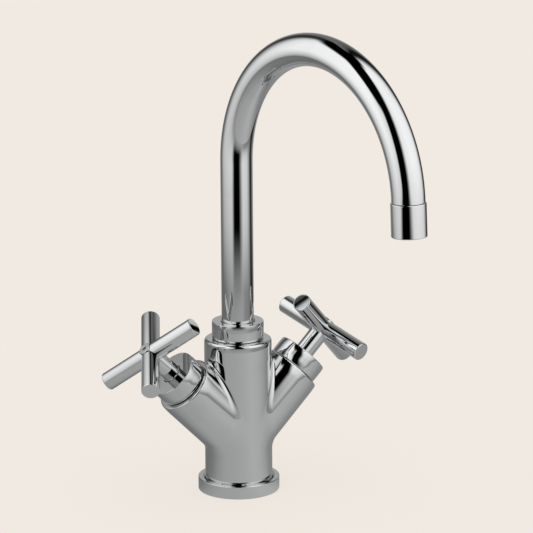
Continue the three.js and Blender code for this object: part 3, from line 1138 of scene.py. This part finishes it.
# Degrees round the tent and of lift above eyeHeight, metres up the tent, and shares of the strength.
tent = {
    "eyeHeight": 0.18,
    "brightest": 1.3,
    "leanFrom": 22,
    "leanRate": 0.33,
    "leanSides": (50, 90),
    "backSides": (136, 150),
    "backLift": (5, 55),
    "backLoss": 0.62,
    "leftTop": 66,
    "leftSag": 24,
    "leftSagSides": (-62, -14),
    "rightTop": 80,
    "rightSag": 14,
    "rightSagSides": (12, 34),
    "topMiddle": (-4, 4),
    "topEdge": (-5, 3),
    "footRise": (0.02, 0.10),
    "footLoss": 0.14,
    "rightFootLoss": 0.28,
    "rightFootSides": (25, 60),
    "gapFrom": (96, 112),
    "gapTo": (132, 142),
    "gapLoss": 0.88,
    "riseTop": 0.4,
}
slit = {
    "highFrom": (0.10, 0.24),
    "left": 16,
    "leftNarrowing": 8,
    "leftSoft": 20,
    "leftSharpening": 12,
    "right": 14,
    "rightWidening": 1,
    "rightSoft": 34,
    "rightSharpening": 20,
    "foot": (0.005, 0.085),
}


def strengthRamp(graph, factor, low, high, stops, top=1.0):
    # A ramp from measures between low and high to strengths up to top.
    marks = [((at - low) / (high - low), (level / top, level / top, level / top, 1)) for at, level in stops]
    return graph.node("ShaderNodeValToRGB", {"stops": marks}, {"Fac": (factor - low) / (high - low)}) * top


def roundTheCamera(graph):
    # Metres to the camera's right, metres towards it, height, and degrees round from it.
    split = graph.node("ShaderNodeSeparateXYZ", None, {"Vector": graph.place()}).socket.node
    x, y, z = (Value(graph, split.outputs[i]) for i in range(3))
    turn = view["azimuth"]
    right = x * math.cos(turn) + y * math.sin(turn)
    toward = x * math.sin(turn) - y * math.cos(turn)
    return right, toward, z, right.sum("ARCTAN2", toward) * (180 / math.pi)


def addFloor():
    # The floor is a pale, nearly even tone with a faint shadow. The chrome mirrors it as a soft grey table.
    deselectAll()
    bpy.ops.mesh.primitive_plane_add(size=studio["floorSize"], location=(0, 0, 0))
    floor = bpy.context.object
    floor.name = "floor"
    made, graph = material("floorPaper")
    paper = graph.node("ShaderNodeBsdfDiffuse", None, {"Color": studio["floorColour"]})
    even = graph.node("ShaderNodeEmission", None, {"Color": studio["floorColour"], "Strength": 1.0})
    seen = graph.node("ShaderNodeLightPath", output="Is Camera Ray") * studio["floorEvenness"]
    paper = graph.node("ShaderNodeMixShader", None, {0: seen, 1: paper, 2: even})
    tone = strengthRamp(graph, roundTheCamera(graph)[3], -180, 180, tableStrengths)
    grey = graph.node("ShaderNodeEmission", None, {"Color": (1, 1, 1, 1), "Strength": tone})
    mirrored = graph.node("ShaderNodeLightPath", output="Is Glossy Ray")
    mix = graph.node("ShaderNodeMixShader", None, {0: mirrored, 1: paper, 2: grey})
    graph.node("ShaderNodeOutputMaterial", None, {"Surface": mix})
    floor.data.materials.append(made)


def clothStrength(graph, around, lift):
    # The side panels lean outwards, so their far edges stand wider at the top.
    lean = (lift - tent["leanFrom"]) * tent["leanRate"]
    rightSide = around.between(*tent["leanSides"])
    leftSide = (0 - around).between(*tent["leanSides"])
    leaning = around - rightSide * lean + leftSide * lean
    cloth = strengthRamp(graph, leaning, -180, 180, clothStrengths, tent["brightest"])
    # The back is darker higher up.
    behind = around.sum("ABSOLUTE").between(*tent["backSides"])
    cloth = cloth * (1 - behind * lift.between(*tent["backLift"]) * tent["backLoss"])
    # Above its top edge the tent is open and dark.
    leftTop = tent["leftTop"] - around.between(*tent["leftSagSides"]) * tent["leftSag"]
    rightTop = tent["rightTop"] - (1 - around.between(*tent["rightSagSides"])) * tent["rightSag"]
    top = leftTop + around.between(*tent["topMiddle"]) * (rightTop - leftTop)
    return cloth * (1 - (lift - top).between(*tent["topEdge"]))


def footShade(around, height):
    # The table is a little darker towards the tent's foot, and dark in the gap at the right.
    rightLoss = around.between(*tent["rightFootSides"]) * tent["rightFootLoss"]
    foot = 1 - (1 - height.between(*tent["footRise"])) * (tent["footLoss"] + rightLoss)
    gap = around.between(*tent["gapFrom"]) * (1 - around.between(*tent["gapTo"]))
    return foot * (1 - gap * tent["gapLoss"])


def slitShade(around, height):
    # The slit towards the camera narrows upwards, and its edges are softer low down.
    high = height.between(*slit["highFrom"])
    leftEdge = high * slit["leftNarrowing"] - slit["left"]
    leftOpen = ((leftEdge - around) / (slit["leftSoft"] - high * slit["leftSharpening"])).between(0, 1)
    rightEdge = slit["right"] + high * slit["rightWidening"]
    rightOpen = ((around - rightEdge) / (slit["rightSoft"] - high * slit["rightSharpening"])).between(0, 1)
    return (1 - leftOpen) * (1 - rightOpen) * height.between(*slit["foot"])


def addTent():
    # A white tent with a dark slit towards the camera, seen only in reflections.
    deselectAll()
    bpy.ops.mesh.primitive_uv_sphere_add(
        segments=studio["tentSegments"],
        ring_count=studio["tentRings"],
        radius=studio["tentRadius"],
    )
    shell = bpy.context.object
    shell.name = "lightTent"
    shell.scale.z = studio["tentHeight"] / studio["tentRadius"]
    bpy.ops.object.transform_apply(location=True, rotation=True, scale=True)
    made, graph = material("tentCloth")
    right, toward, height, around = roundTheCamera(graph)
    away = (right * right + toward * toward).sum("SQRT")
    lift = (height - tent["eyeHeight"]).sum("ARCTAN2", away) * (180 / math.pi)
    table = strengthRamp(graph, around, -180, 180, tableStrengths) * footShade(around, height)
    rise = strengthRamp(graph, height, 0.0, tent["riseTop"], clothRise)
    strength = table * (1 - rise) + clothStrength(graph, around, lift) * rise
    strength = strength * (1 - slitShade(around, height))
    light = graph.node("ShaderNodeEmission", None, {"Color": (1, 1, 1, 1), "Strength": strength})
    graph.node("ShaderNodeOutputMaterial", None, {"Surface": light})
    shell.data.materials.append(made)
    shell.visible_camera = False
    shell.visible_diffuse = False
    shell.visible_shadow = False
    shell.visible_transmission = False


def addWorld():
    world = bpy.data.worlds.new("studioWorld")
    bpy.context.scene.world = world
    graph = Graph(world)
    white = (1, 1, 1, 1)
    mirrored = graph.node("ShaderNodeLightPath", output="Is Glossy Ray")
    room = graph.node("ShaderNodeBackground", None, {"Color": white, "Strength": studio["roomLight"]})
    dark = graph.node("ShaderNodeBackground", None, {"Color": white, "Strength": studio["mirroredRoom"]})
    mix = graph.node("ShaderNodeMixShader", None, {0: mirrored, 1: room, 2: dark})
    graph.node("ShaderNodeOutputWorld", None, {"Surface": mix})


def addSoftLight():
    deselectAll()
    bpy.ops.object.light_add(type="SUN", location=studio["sunPlace"])
    lamp = bpy.context.object
    lamp.name = "softLight"
    lamp.data.angle = studio["sunAngle"]
    lamp.data.energy = studio["sunLight"]
    lamp.rotation_euler = Vector(studio["sunAim"]).to_track_quat("-Z", "Y").to_euler()
    lamp.visible_glossy = False


addFloor()
addTent()
addWorld()
addSoftLight()
bpy.context.scene.view_settings.view_transform = "Standard"
print("studio ready")
